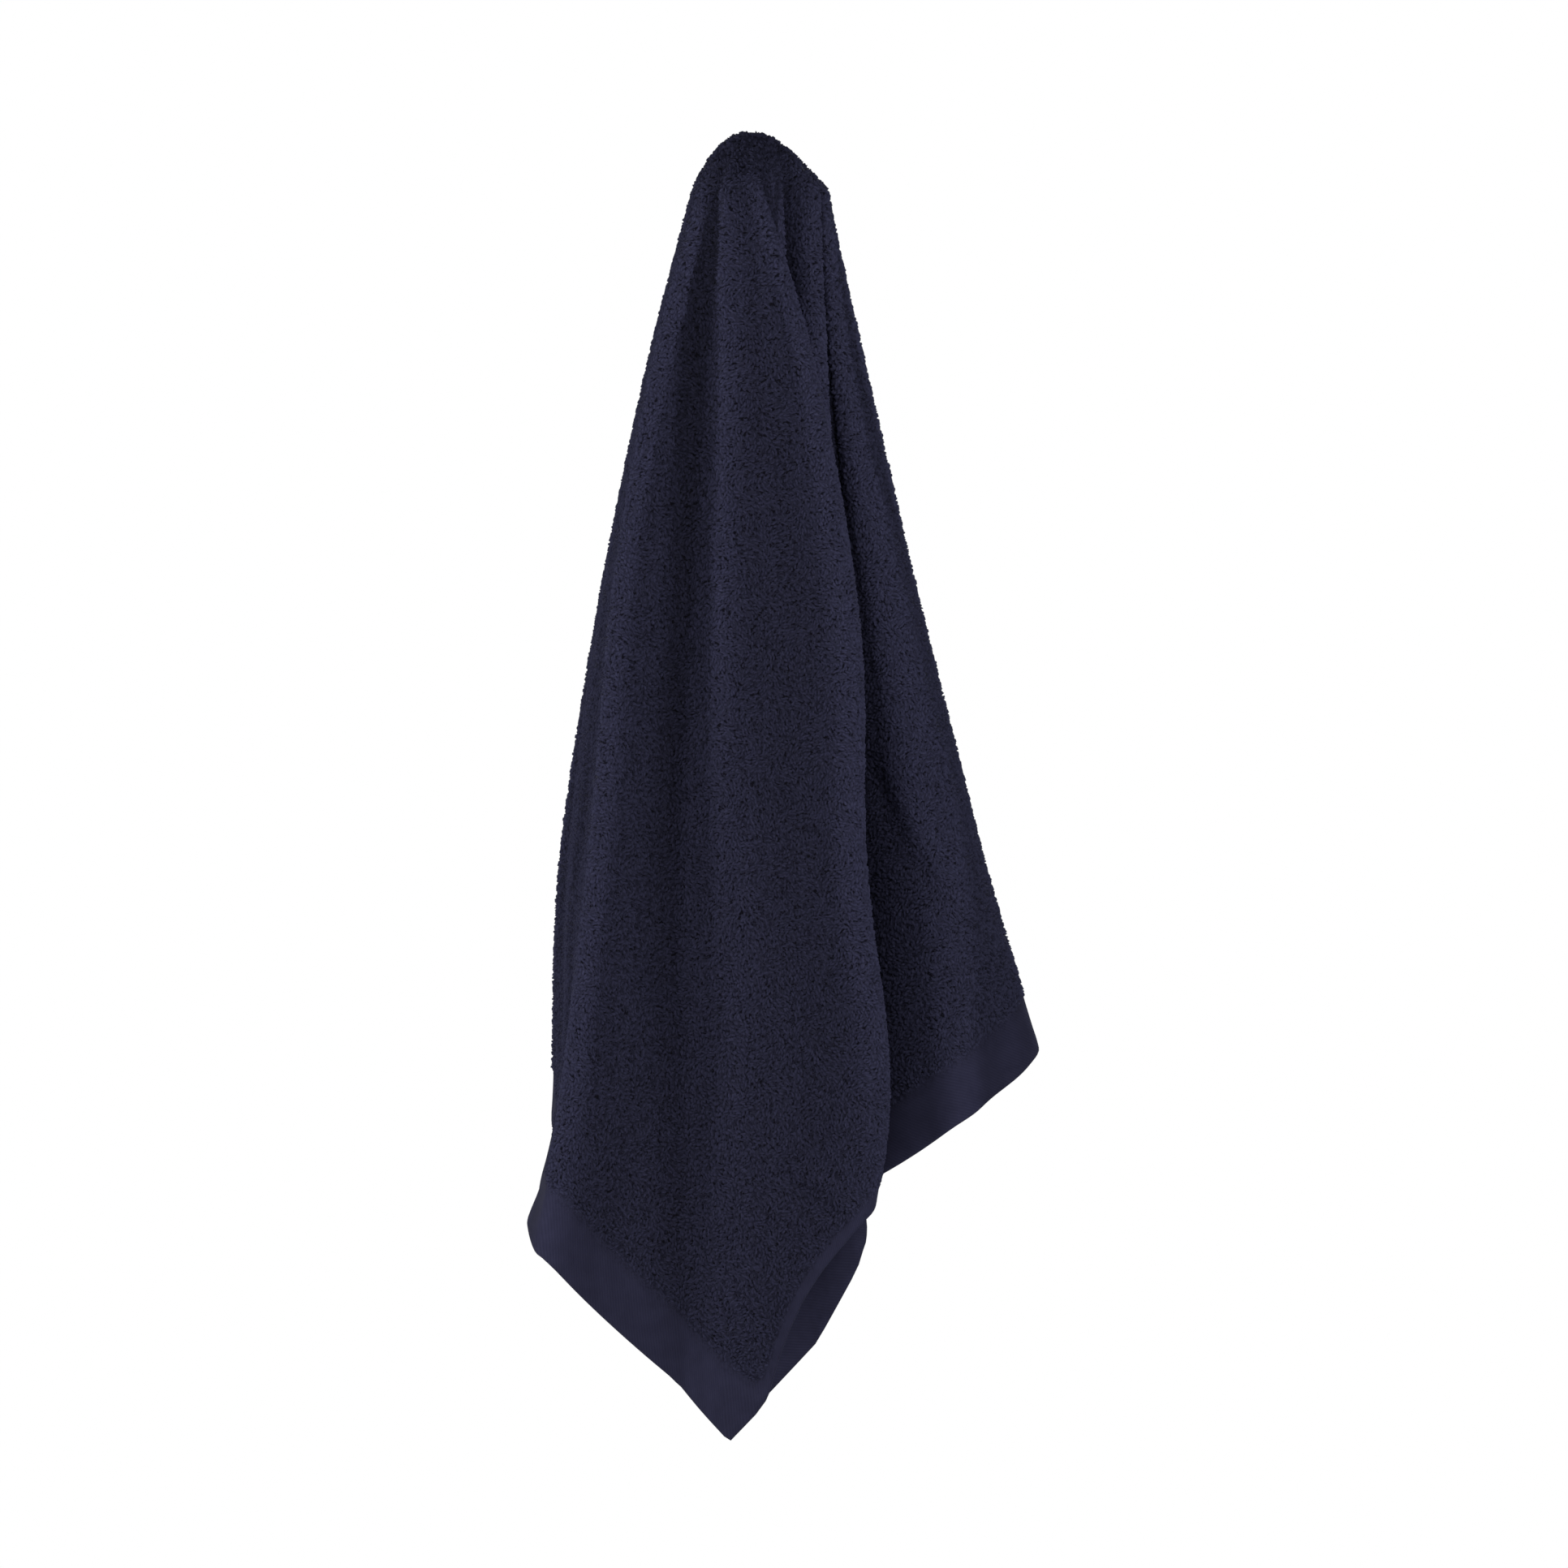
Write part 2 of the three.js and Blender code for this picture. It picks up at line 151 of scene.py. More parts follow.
def values_at(table, drop):
    """The rows' values at one drop, on a smooth curve through the table's."""
    last = len(DROPS) - 1
    if drop >= DROPS[last]:
        slope = (table[:, last] - table[:, last - 1]) / (DROPS[last] - DROPS[last - 1])
        return table[:, last] + slope * (drop - DROPS[last])
    i = max(int(np.searchsorted(DROPS, drop, side="right")) - 1, 0)

    def slope_at(k):
        a, b = max(k - 1, 0), min(k + 1, last)
        return (table[:, b] - table[:, a]) / (DROPS[b] - DROPS[a])

    span = DROPS[i + 1] - DROPS[i]
    t = (drop - DROPS[i]) / span
    early = (1 + 2 * t) * (1 - t) ** 2 * table[:, i] + t * (1 - t) ** 2 * span * slope_at(i)
    late = t * t * (3 - 2 * t) * table[:, i + 1] - t * t * (1 - t) * span * slope_at(i + 1)
    return early + late


def fold_ring(drop):
    """The outline at one drop: a polyline for each fold, from the middle of its turn to the next one's."""
    p = np.stack([values_at(XS, drop), values_at(YS, drop)], 1)
    legs = np.roll(p, -1, 0) - p
    heading = np.arctan2(legs[:, 1], legs[:, 0])
    length = np.linalg.norm(legs, axis=1)
    turns = wrapped(heading - np.roll(heading, 1))
    leg = np.minimum(length, np.roll(length, 1))
    half = np.maximum(np.abs(np.sin(turns / 2)), NEAR_ZERO)
    room = leg * np.minimum(SLIGHT_TURN_ROOM / half, SHARP_TURN_ROOM / half**2)
    radii = np.tanh(turns / SLIGHT_TURN) * np.minimum(BENDS, room)
    middle = np.roll(heading, 1) + turns / 2
    centres = np.stack([p[:, 0] - radii * np.sin(middle), p[:, 1] + radii * np.cos(middle)], 1)
    across = np.roll(centres, -1, 0) - centres
    lean = (np.roll(radii, -1) - radii) / np.linalg.norm(across, axis=1)
    lean = np.clip(lean, -STEEPEST_LEAN, STEEPEST_LEAN)
    headings = np.arctan2(across[:, 1], across[:, 0]) - np.arcsin(lean)
    arrive = np.roll(headings, 1)
    swing = wrapped(headings - arrive)
    swing = turns + wrapped(swing - turns)
    paths = []
    for i in range(len(FOLDS)):
        j = (i + 1) % len(FOLDS)
        leave = arrive[i] + swing[i] * np.linspace(0.5, 1, TURN_POINTS)
        enter = arrive[j] + swing[j] * np.linspace(0, 0.5, TURN_POINTS)
        out = centres[i] + radii[i] * np.stack([np.sin(leave), -np.cos(leave)], 1)
        into = centres[j] + radii[j] * np.stack([np.sin(enter), -np.cos(enter)], 1)
        paths.append(np.vstack([out, into]))
    return paths


def resampled(path, steps):
    lengths = np.concatenate([[0], np.cumsum(np.linalg.norm(np.diff(path, axis=0), axis=1) + 1e-9)])
    at = np.linspace(0, lengths[-1], steps + 1)[:-1]
    return np.stack([np.interp(at, lengths, path[:, k]) for k in range(2)], 1)


def columns_between():
    return [
        max(LEAST_COLUMNS, int(round(np.linalg.norm(np.diff(path, axis=0), axis=1).sum() / gap)))
        for path, gap in zip(fold_ring(SPACING_DROP), SPACINGS)
    ]


STEPS = columns_between()


def ring_at(drop):
    ring = np.vstack([resampled(path, steps) for path, steps in zip(fold_ring(drop), STEPS)])
    ring = halfway(ring)
    share = SOFT_SHARE * np.clip((SOFT_DROP - drop) / (SOFT_DROP - SHOULDER_DROP), 0, 1)
    for _ in range(SOFT_PASSES):
        ring = (1 - share) * ring + 0.5 * share * (np.roll(ring, 1, 0) + np.roll(ring, -1, 0))
    return ring


def column_angles():
    angles = []
    for i, steps in enumerate(STEPS):
        end = ANGLES[i + 1] if i + 1 < len(FOLDS) else ANGLES[0] + 2 * np.pi
        angles.extend(ANGLES[i] + (end - ANGLES[i]) * np.arange(steps) / steps)
    return np.array(angles)


def reach_at(angle, end_trim=0.0, side_trim=0.0):
    """How far the flat towel reaches from the hanging point at an angle, its edges drawn in by a trim."""
    reach = np.full(np.shape(angle), np.inf)
    for at, distance in (
        (-np.pi / 2, TO_LEFT_END - end_trim),
        (np.pi / 2, TO_RIGHT_END - end_trim),
        (0.0, TO_FRONT_SIDE - side_trim),
        (np.pi, TO_BACK_SIDE - side_trim),
    ):
        facing = np.cos(angle - at)
        nearer = np.minimum(reach, distance / np.maximum(facing, NEAR_ZERO))
        reach = np.where(facing > NEAR_ZERO, nearer, reach)
    return reach


def sheet_grid():
    """Points on the middle of the sheet, columns by rows, and each one's length from the hanging point."""
    angles = column_angles()
    drops = np.concatenate([
        SHOULDER_DROP * (np.arange(CROWN_RINGS) / CROWN_RINGS) ** 2,
        np.arange(SHOULDER_DROP, LOWEST_DROP, RING_STEP),
    ])
    shoulder = ring_at(SHOULDER_DROP)
    radius = np.linalg.norm(shoulder, axis=1, keepdims=True)
    rings = []
    for drop in drops:
        if drop < SHOULDER_DROP:
            reach = math.sqrt(drop / SHOULDER_DROP)
            rings.append(shoulder * (CROWN_RADIUS * reach + (radius - CROWN_RADIUS) * reach**3) / radius)
        else:
            rings.append(ring_at(drop))
    levels = [np.column_stack([ring, np.full(len(ring), -drop)]) for ring, drop in zip(rings, drops)]
    paths = np.stack(levels, 1)
    pile_end = reach_at(angles, END_BAND, SIDE_HEM)
    hem = reach_at(angles)
    grid, lengths = [], []
    for column in range(len(angles)):
        path = paths[column]
        along = np.concatenate([[0], np.cumsum(np.linalg.norm(np.diff(path, axis=0), axis=1))])
        crown_end = CROWN_LENGTHS[-1]
        wanted = np.concatenate([
            CROWN_LENGTHS,
            crown_end + (pile_end[column] - crown_end) * np.arange(1, PILE_ROWS + 1) / PILE_ROWS,
            pile_end[column] + (hem[column] - pile_end[column]) * np.array(BAND_SHARES),
        ])
        grid.append(np.stack([np.interp(wanted, along, path[:, k]) for k in range(3)], 1))
        lengths.append(wanted)
    return np.array(grid), np.array(lengths), angles


def grid_normals(grid):
    to_left = unit(grid - np.roll(grid, 1, 0))
    to_right = unit(np.roll(grid, -1, 0) - grid)
    above = np.concatenate([np.zeros((len(grid), 1, 3)), grid[:, :-1]], 1)
    below = np.concatenate([grid[:, 1:], grid[:, -1:]], 1)
    return unit(np.cross(below - above, to_left + to_right))


# Long soft undulations that run down the folds: how wide each is in degrees round the hanging point, how
# long, and how high. They start at one length from the hanging point, have that height this much further on,
# and grow to at most this many times it.
UNDULATIONS = [(11.0, 420, 1.1), (7.3, 260, 0.8), (4.6, 170, 0.5)]
SWELL_START = 60
SWELL_GROWTH = 340
MOST_SWELL = 1.2


def swelled(grid, normals, lengths, angles):
    swell = np.zeros(lengths.shape)
    turn = np.degrees(angles)[:, None]
    for k, (wide, long, high) in enumerate(UNDULATIONS):
        sway = 0.7 * np.sin(2 * np.pi * lengths / long + 1.7 * k + turn / 23)
        round_it = np.sin(2 * np.pi * turn / wide + 2.1 * k + sway)
        down_it = np.sin(2 * np.pi * lengths / (1.7 * long) + turn / 9 + k)
        swell += high * round_it * down_it
    growth = np.clip((lengths - SWELL_START) / SWELL_GROWTH, 0, MOST_SWELL)
    return grid + normals * (swell * growth)[..., None]


# Short creases pressed into the cloth: name, the angles on the flat towel between which it lies, x and z of
# its two ends, how wide it is and how deep.
CREASES = [
    ("low diagonal", (-46.2, -35.5), (16, -477), (49, -506), 5, -1.6),
    ("low diagonal lip", (-46.2, -35.5), (20, -467), (52, -496), 4, 1.0),
    ("right face upper", (61.4, 75), (54, -288), (69, -322), 5, -2.0),
    ("right face lower", (61.4, 75), (69, -322), (85, -350), 6, -1.8),
    ("panel upper", (-48, -37), (8, -296), (34, -330), 5, -1.2),
]
# A crease ends this share of its length past each end, and the taper says how soon it is at full depth.
CREASE_OVERSHOOT = 0.3
CREASE_TAPER = 1.6


def creased(grid, normals, angles):
    for _, (first, last), start, end, wide, deep in CREASES:
        start, end = np.array(start, float), np.array(end, float)
        way = end - start
        offset = grid[..., [0, 2]] - start
        share = offset @ way / (way @ way)
        away = np.linalg.norm(offset - np.clip(share, 0, 1)[..., None] * way, axis=-1)
        to_end = np.minimum(share, 1 - share) + CREASE_OVERSHOOT
        taper = np.clip(CREASE_TAPER * to_end, 0, 1)
        inside = (np.degrees(angles) > first) & (np.degrees(angles) < last)
        press = deep * np.exp(-((away / wide) ** 2)) * taper * inside[:, None]
        grid = grid + normals * press[..., None]
    return grid


# A fold of RIDGE_RADIUS counts as a full ridge or valley, and a sharper one as at most MOST_BENT before it
# is smoothed round the towel and down it. The crown counts as half a valley, so that painted shade lies over
# it, which fades out over CROWN_FADE from CROWN_FADE_START on.
RIDGE_RADIUS = 12
MOST_BENT = 1.5
ROUND_PASSES = 3
DOWN_PASSES = 2
CROWN_PAINTED_SHADE = 0.5
CROWN_FADE_START = 14.5
CROWN_FADE = 50

# Painted light and shade: the pile and the weave are painted this much lighter on a full ridge and darker
# in a full valley.
PAINTED_RIDGE_LIGHT = 0.5
PAINTED_VALLEY_SHADE = 0.36


def convexity(grid, normals, lengths):
    """How far the cloth is bent outward at each point: 1 on a ridge, 0 where it is flat, -1 in a valley."""
    across = np.roll(grid, -1, 0) - np.roll(grid, 1, 0)
    turn = np.roll(normals, -1, 0) - np.roll(normals, 1, 0)
    squared = np.maximum(np.sum(across * across, -1), NEAR_ZERO)
    bent = RIDGE_RADIUS * np.sum(turn * across, -1) / squared
    bent = np.clip(bent, -MOST_BENT, MOST_BENT)
    for _ in range(ROUND_PASSES):
        bent = halfway(bent)
    for _ in range(DOWN_PASSES):
        bent[:, 1:-1] = 0.5 * bent[:, 1:-1] + 0.25 * (bent[:, 2:] + bent[:, :-2])
    below_crown = np.clip((lengths - CROWN_FADE_START) / CROWN_FADE, 0, 1)
    return np.clip(bent * below_crown - CROWN_PAINTED_SHADE * (1 - below_crown), -1, 1)


# A colour multiplier of painted light on ridges and painted shade in valleys and over the crown.
def painted_bend_light_and_shade(bent):
    return 1 + np.where(bent > 0, PAINTED_RIDGE_LIGHT, PAINTED_VALLEY_SHADE) * bent


grid, lengths, angles = sheet_grid()
normals = grid_normals(grid)
grid = swelled(grid, normals, lengths, angles)
grid = creased(grid, grid_normals(grid), angles)
normals = grid_normals(grid)
convex = convexity(grid, normals, lengths)
COLUMNS, ROWS = lengths.shape


def mesh_object(name, points, triangles):
    mesh = bpy.data.meshes.new(name)
    points = np.asarray(points, np.float32)
    triangles = np.asarray(triangles, np.int32)
    mesh.vertices.add(len(points))
    mesh.vertices.foreach_set("co", points.ravel())
    mesh.loops.add(triangles.size)
    mesh.loops.foreach_set("vertex_index", triangles.ravel())
    mesh.polygons.add(len(triangles))
    mesh.polygons.foreach_set("loop_start", np.arange(0, triangles.size, 3, dtype=np.int32))
    mesh.polygons.foreach_set("use_smooth", np.full(len(triangles), True))
    mesh.update(calc_edges=True)
    obj = bpy.data.objects.new(name, mesh)
    bpy.context.scene.collection.objects.link(obj)
    return obj


def add_values(obj, name, values):
    made = obj.data.attributes.new(name, "FLOAT", "POINT")
    made.data.foreach_set("value", values.astype(np.float32))


def sheet_mesh():
    """The closed ground cloth: an outer face, an inner face and the hem that joins them."""
    half = np.full(ROWS, GROUND_THICKNESS / 2)
    half[PILE_END_ROW + 1:] = np.array(BAND_HALF_THICKNESS)
    sides = []
    for side in (half, -half):
        pole = np.array([[0, 0, side[0]]]) + SHEET_MIDDLE
        face = grid + side[None, :, None] * normals + SHEET_MIDDLE
        sides.append(np.vstack([pole, face.reshape(-1, 3)]))
    start = 1 + COLUMNS * ROWS
    c = np.arange(COLUMNS)[:, None]
    r = np.arange(ROWS - 1)[None, :]
    n = (c + 1) % COLUMNS
    a, b = 1 + c * ROWS + r, 1 + c * ROWS + r + 1
    d, e = 1 + n * ROWS + r + 1, 1 + n * ROWS + r
    outer = np.concatenate([
        np.stack([a, b, d], -1).reshape(-1, 3),
        np.stack([a, d, e], -1).reshape(-1, 3),
        np.stack([np.zeros(COLUMNS, int), 1 + c[:, 0] * ROWS, 1 + n[:, 0] * ROWS], 1),
    ])
    inner = outer[:, [0, 2, 1]] + start
    hem = 1 + c[:, 0] * ROWS + ROWS - 1
    hem_next = 1 + n[:, 0] * ROWS + ROWS - 1
    rim = np.concatenate([
        np.stack([hem, hem + start, hem_next + start], 1),
        np.stack([hem, hem_next + start, hem_next], 1),
    ])
    return np.vstack(sides) * MM, np.concatenate([outer, inner, rim])


LONG_SIDE = TO_LEFT_END + TO_RIGHT_END
SHORT_SIDE = TO_FRONT_SIDE + TO_BACK_SIDE


def flat_places():
    """Each point's place on the flat towel, from its left front corner, in shares of its two sides."""
    along = (TO_LEFT_END + lengths * np.sin(angles)[:, None]) / LONG_SIDE
    across = (TO_FRONT_SIDE - lengths * np.cos(angles)[:, None]) / SHORT_SIDE
    pole = np.array([[TO_LEFT_END / LONG_SIDE, TO_FRONT_SIDE / SHORT_SIDE]])
    return np.vstack([pole, np.stack([along, across], -1).reshape(-1, 2)] * 2)


def bare_shares():
    """How far each point is out of the pile: 0 under it, 1 on the end bands and the hems."""
    bare = np.zeros((COLUMNS, ROWS))
    bare[:, PILE_END_ROW] = 0.5
    bare[:, PILE_END_ROW + 1:] = 1
    return np.tile(np.concatenate([[0], bare.ravel()]), 2)


points, triangles = sheet_mesh()
towel = mesh_object("towel_cloth", points, triangles)
uv = towel.data.uv_layers.new(name="flat")
uv.data.foreach_set("uv", flat_places()[triangles.ravel()].astype(np.float32).ravel())
add_values(towel, "bare", bare_shares())
# Painted light on ridges and painted shade in valleys and over the crown, for both faces of the sheet.
painted_light_and_shade = np.concatenate([[1], painted_bend_light_and_shade(convex).ravel(), [1], painted_bend_light_and_shade(-convex).ravel()])
add_values(towel, "painted_light_and_shade", painted_light_and_shade)

# Loops lie where the sheet shows, which is where one of these rays gets away from it. Each loop takes this
# many square millimetres of the sheet, fewer where it shows from the front.
LOOP_AREA_FRONT = 2.5
LOOP_AREA_REST = 5.2
FRONT_RAYS = [(0, -1, 0), (0.55, -0.83, 0), (-0.55, -0.83, 0), (0, -0.9, -0.43)]
OTHER_RAYS = [
    (1, 0, 0), (-1, 0, 0), (0, 1, 0), (0.6, 0.8, 0), (-0.6, 0.8, 0), (0.7, 0.7, -0.2), (-0.7, 0.7, -0.2),
    (0, 0.3, 0.95), (0, 0.85, -0.5),
]
RAY_CLEARANCE = 0.6
LEAST_FACING = 0.05
QUAD_STEP = 2
tree = BVHTree.FromPolygons(points.tolist(), triangles.tolist())


def exposure(start, facing):
    """2 where the place shows from the front, 1 where it shows from elsewhere, else 0."""
    for rays, worth in ((FRONT_RAYS, 2), (OTHER_RAYS, 1)):
        for ray in rays:
            if np.dot(facing, ray) > LEAST_FACING and tree.ray_cast(start, Vector(ray))[0] is None:
                return worth
    return 0


def quad_exposure(side):
    """The exposure of each quad on one face, grown by one quad and ending where the pile does."""
    beside = np.roll(grid, -1, 0)
    middle = (grid[:, :-1] + grid[:, 1:] + beside[:, 1:] + beside[:, :-1]) / 4
    facing = unit(normals[:, :-1] + normals[:, 1:]) * side
    shown = np.zeros(middle.shape[:2], int)
    off_sheet = GROUND_THICKNESS / 2 + RAY_CLEARANCE
    for c in range(0, COLUMNS, QUAD_STEP):
        for r in range(0, PILE_END_ROW + 1, QUAD_STEP):
            start = Vector((middle[c, r] + facing[c, r] * off_sheet + SHEET_MIDDLE) * MM)
            shown[c:c + QUAD_STEP, r:r + QUAD_STEP] = exposure(start, facing[c, r])
    shown[:, PILE_END_ROW:] = 0
    grown = shown.copy()
    for shift in ((1, 0), (-1, 0), (0, 1), (0, -1)):
        grown = np.maximum(grown, np.roll(shown, shift, (0, 1)))
    grown[:, PILE_END_ROW:] = 0
    return grown


def triangle_area(a, b, c):
    return 0.5 * np.linalg.norm(np.cross(b - a, c - a), axis=-1)


# The root of x^3 = x + 1. Steps of one over it and one over its square spread a quad's loops evenly.
PLASTIC = 1.324717957244746


def lay_loops(side):
    """Places, directions and classes of the loops on one face."""
    shown = quad_exposure(side)
    beside = np.roll(grid, -1, 0)
    a, b, d, e = grid[:, :-1], grid[:, 1:], beside[:, 1:], beside[:, :-1]
    area = triangle_area(a, b, d) + triangle_area(a, d, e)
    per_loop = np.where(shown == 2, LOOP_AREA_FRONT, LOOP_AREA_REST)
    wanted = np.where(shown > 0, area / per_loop, 0)
    count = np.floor(wanted + rng.random(wanted.shape)).astype(int)
    where = np.repeat(np.arange(count.size), count.ravel())
    first = np.cumsum(count.ravel()) - count.ravel()
    order = np.arange(len(where)) - first[where]
    seed = rng.random((count.size, 2))[where]
    u = (seed[:, 0] + order / PLASTIC) % 1
    v = (seed[:, 1] + order / PLASTIC**2) % 1
    c, r = np.unravel_index(where, count.shape)
    nxt = (c + 1) % COLUMNS

    def blend(table):
        t = table.reshape(COLUMNS, ROWS, -1)
        u2, v2 = u[:, None], v[:, None]
        return (
            t[c, r] * (1 - u2) * (1 - v2) + t[nxt, r] * u2 * (1 - v2)
            + t[c, r + 1] * (1 - u2) * v2 + t[nxt, r + 1] * u2 * v2
        )

    return {
        "place": blend(grid),
        "normal": unit(blend(normals)) * side,
        "down": unit(grid[c, r + 1] - grid[c, r]),
        "front": shown[c, r] == 2,
        "bent": blend(convex)[:, 0] * side,
        "length": blend(lengths)[:, 0],
        "angle": angles[c] + u * wrapped(np.roll(angles, -1)[c] - angles[c]),
    }


# A loop's grain: half its length and width, its height and how it lies, and how much these vary. Loops that
# don't show from the front are larger. Sunk loops are low and darkened with painted shade, with fewer of them
# on a ridge and more in a valley, which adds painted light on ridges and painted shade in valleys.
HALF_LENGTH = (1.05, 1.6)
HALF_WIDTH = (0.52, 0.72)
HEIGHT = (0.8, 1.3)
SUNK_HEIGHT = 0.45
REST_SCALE = 1.2
SHOULDER_SHARE = 0.42
ROOT_DEPTH = 0.1
TURN_SPREAD = 0.45
BOW_SPREAD = 0.35
SIDE_LEAN_SPREAD = 0.22
DOWN_LEAN = 0.15
DOWN_LEAN_SPREAD = 0.2
SHADE_SPREAD = 0.08
CLUMP_HEIGHT = 0.28
CLUMP_PAINTED_LIGHT = 0.2
SHADE_RANGE = (0.7, 1.3)
SUNK_SHARE = 0.17
SUNK_PAINTED_SHADE = 0.5
SUNK_FALL = 1.4
MOST_SUNK = 1.8

# The grain's corners, in order: one pointed end, a foot, the top and a foot at the first shoulder, the same
# at the second, and the other pointed end. Only the tops are tips; the other corners take the darker root
# colour, which is painted shade at the roots.
GRAIN_FACES = np.array([
    [0, 2, 1], [0, 3, 2], [1, 2, 5], [1, 5, 4], [3, 5, 2], [3, 6, 5], [7, 4, 5], [7, 5, 6],
])
GRAIN_TIPS = [0, 0, 1, 0, 0, 1, 0, 0]


def swirl_at(x, y):
    """How far the loops turn from the way down at a place on the flat towel, in radians."""
    one = 0.8 * np.sin(x / 4.3 + 1.6 * np.sin(y / 6.1))
    other = 0.8 * np.sin(y / 5.2 + 1.4 * np.sin(x / 7.3))
    return one + other


def clump_at(x, y):
    """How much higher or lower than usual the loops stand at a place on the flat towel."""
    return CLUMP_HEIGHT * np.sin(x / 1.5 + np.sin(y / 2.1)) * np.sin(y / 1.7 + np.sin(x / 2.9))


def loops_mesh(laid):
    """A small bowed and arched grain for each loop, with pointed ends in the ground cloth."""
    count = len(laid["place"])
    n = laid["normal"]
    down = unit(laid["down"] - n * np.sum(laid["down"] * n, 1, keepdims=True))
    across = np.cross(n, down)
    x = laid["length"] * np.sin(laid["angle"])
    y = laid["length"] * np.cos(laid["angle"])
    turn = (swirl_at(x, y) + rng.normal(0, TURN_SPREAD, count))[:, None]
    along = down * np.cos(turn) + across * np.sin(turn)
    beside = np.cross(n, along)
    scale = np.where(laid["front"], 1.0, REST_SCALE)[:, None]
    reach = along * rng.uniform(*HALF_LENGTH, (count, 1)) * scale
    width = beside * rng.uniform(*HALF_WIDTH, (count, 1)) * scale
    bow = beside * rng.normal(0, BOW_SPREAD, (count, 1)) * scale
    clump = clump_at(x, y)
    # Each loop's random tone, with painted light on loops that stand higher and painted shade on lower ones.
    tone_and_painted_shade = rng.normal(1.0, SHADE_SPREAD, count) + CLUMP_PAINTED_LIGHT * clump
    # Sunk loops get painted shade; they thin out on a ridge and crowd in a valley.
    sunk = rng.random(count) < SUNK_SHARE * np.clip(1 - SUNK_FALL * laid["bent"], 0, MOST_SUNK)
    tone_and_painted_shade = np.where(sunk, SUNK_PAINTED_SHADE, np.clip(tone_and_painted_shade, *SHADE_RANGE)) * painted_bend_light_and_shade(laid["bent"])
    high = np.where(sunk, SUNK_HEIGHT, rng.uniform(*HEIGHT, count)) + clump * ~sunk
    side_lean = beside * rng.normal(0, SIDE_LEAN_SPREAD, (count, 1))
    down_lean = down * rng.normal(DOWN_LEAN, DOWN_LEAN_SPREAD, (count, 1))
    foot = laid["place"] + n * (GROUND_THICKNESS / 2 - ROOT_DEPTH)
    feet = foot + bow
    top = feet + n * high[:, None] * scale + side_lean + down_lean
    shoulder = SHOULDER_SHARE * reach
    corners = np.stack([
        foot - reach,
        feet - shoulder + width,
        top - shoulder,
        feet - shoulder - width,
        feet + shoulder + width,
        top + shoulder,
        feet + shoulder - width,
        foot + reach,
    ], 1)
    corners = (corners + SHEET_MIDDLE) * MM
    size = len(GRAIN_TIPS)
    faces = GRAIN_FACES[None] + size * np.arange(count)[:, None, None]
    return corners.reshape(-1, 3), faces.reshape(-1, 3), np.tile(GRAIN_TIPS, count), np.repeat(tone_and_painted_shade, size)


# The loops are joined into pieces by their height and then by their angle round the towel.
MOST_LOOPS = 24500
LAYER_HEIGHT = 30
LAYER_WEIGHT = 1000


def build_loops():
    outer = lay_loops(1)
    inner = lay_loops(-1)
    laid = {key: np.concatenate([outer[key], inner[key]]) for key in outer}
    layer = np.round(laid["place"][:, 2] / LAYER_HEIGHT)
    order = np.argsort(layer * LAYER_WEIGHT + laid["angle"])
    total = len(order)
    pieces = math.ceil(total / MOST_LOOPS)
    made = []
    for k in range(pieces):
        chosen = order[k * total // pieces:(k + 1) * total // pieces]
        corners, faces, tips, tones_and_painted_shades = loops_mesh({key: value[chosen] for key, value in laid.items()})
        piece = mesh_object(f"towel_loops_{k + 1}", corners, faces)
        add_values(piece, "tip", tips)
        add_values(piece, "tone_and_painted_shade", tones_and_painted_shades)
        made.append(piece)
    return made


loops = build_loops()


# The cloth's colours and finish. Its patterns are laid out in millimetres of the flat towel.
TIP_COLOUR = (0.0275, 0.0280, 0.0555)
# Painted shade at the loop roots: each loop runs from TIP_COLOUR at its top to this darker colour below.
ROOT_PAINTED_SHADE_COLOUR = (0.0140, 0.0142, 0.0275)
# Painted shade in the gaps between the loops, drawn into the pile floor by a noise pattern.
PAINTED_GAP_SHADE = (0.0030, 0.0030, 0.0060)
UNDER_PILE_COLOUR = (0.0180, 0.0182, 0.0350)
BAND_COLOUR = (0.0200, 0.0200, 0.0405)
TWILL_DARK = 0.88
TWILL_LIGHT = 1.06
TWILL_PITCH = 1.3
TWILL_SCALE = 2 * math.pi / (10 * math.sqrt(2) * TWILL_PITCH)
TWILL_DISTORTION = 0.6
WEAR_SCALE = 0.12
WEAR_RANGE = (0.9, 1.1)
GAP_SCALE = 0.75
GAP_DISTORTION = 1.2
BUMP_HEIGHT = 0.25
BUMP_STRENGTH = 0.25
SHEEN_TINT = (0.5, 0.52, 1.0)
SHEEN_ROUGHNESS = 0.45
SPECULAR = 0.06
FLAT_SIZE = (LONG_SIDE, -SHORT_SIDE, 0)


def node(nt, kind, **values):
    made = nt.nodes.new(kind)
    for key, value in values.items():
        setattr(made, key, value)
    return made


def textured(nt, kind, source, values, **settings):
    """A texture node on the flat towel's millimetres."""
    made = node(nt, kind, **settings)
    for key, value in values.items():
        made.inputs[key].default_value = value
    nt.links.new(source, made.inputs["Vector"])
    return made.outputs["Fac"]


def mapped(nt, source, source_range, target_range):
    made = node(nt, "ShaderNodeMapRange")
    made.inputs["From Min"].default_value, made.inputs["From Max"].default_value = source_range
    made.inputs["To Min"].default_value, made.inputs["To Max"].default_value = target_range
    nt.links.new(source, made.inputs["Value"])
    return made.outputs["Result"]


def attribute(nt, name):
    """The share or strength that each point of the mesh carries under a name."""
    return node(nt, "ShaderNodeAttribute", attribute_name=name).outputs["Fac"]


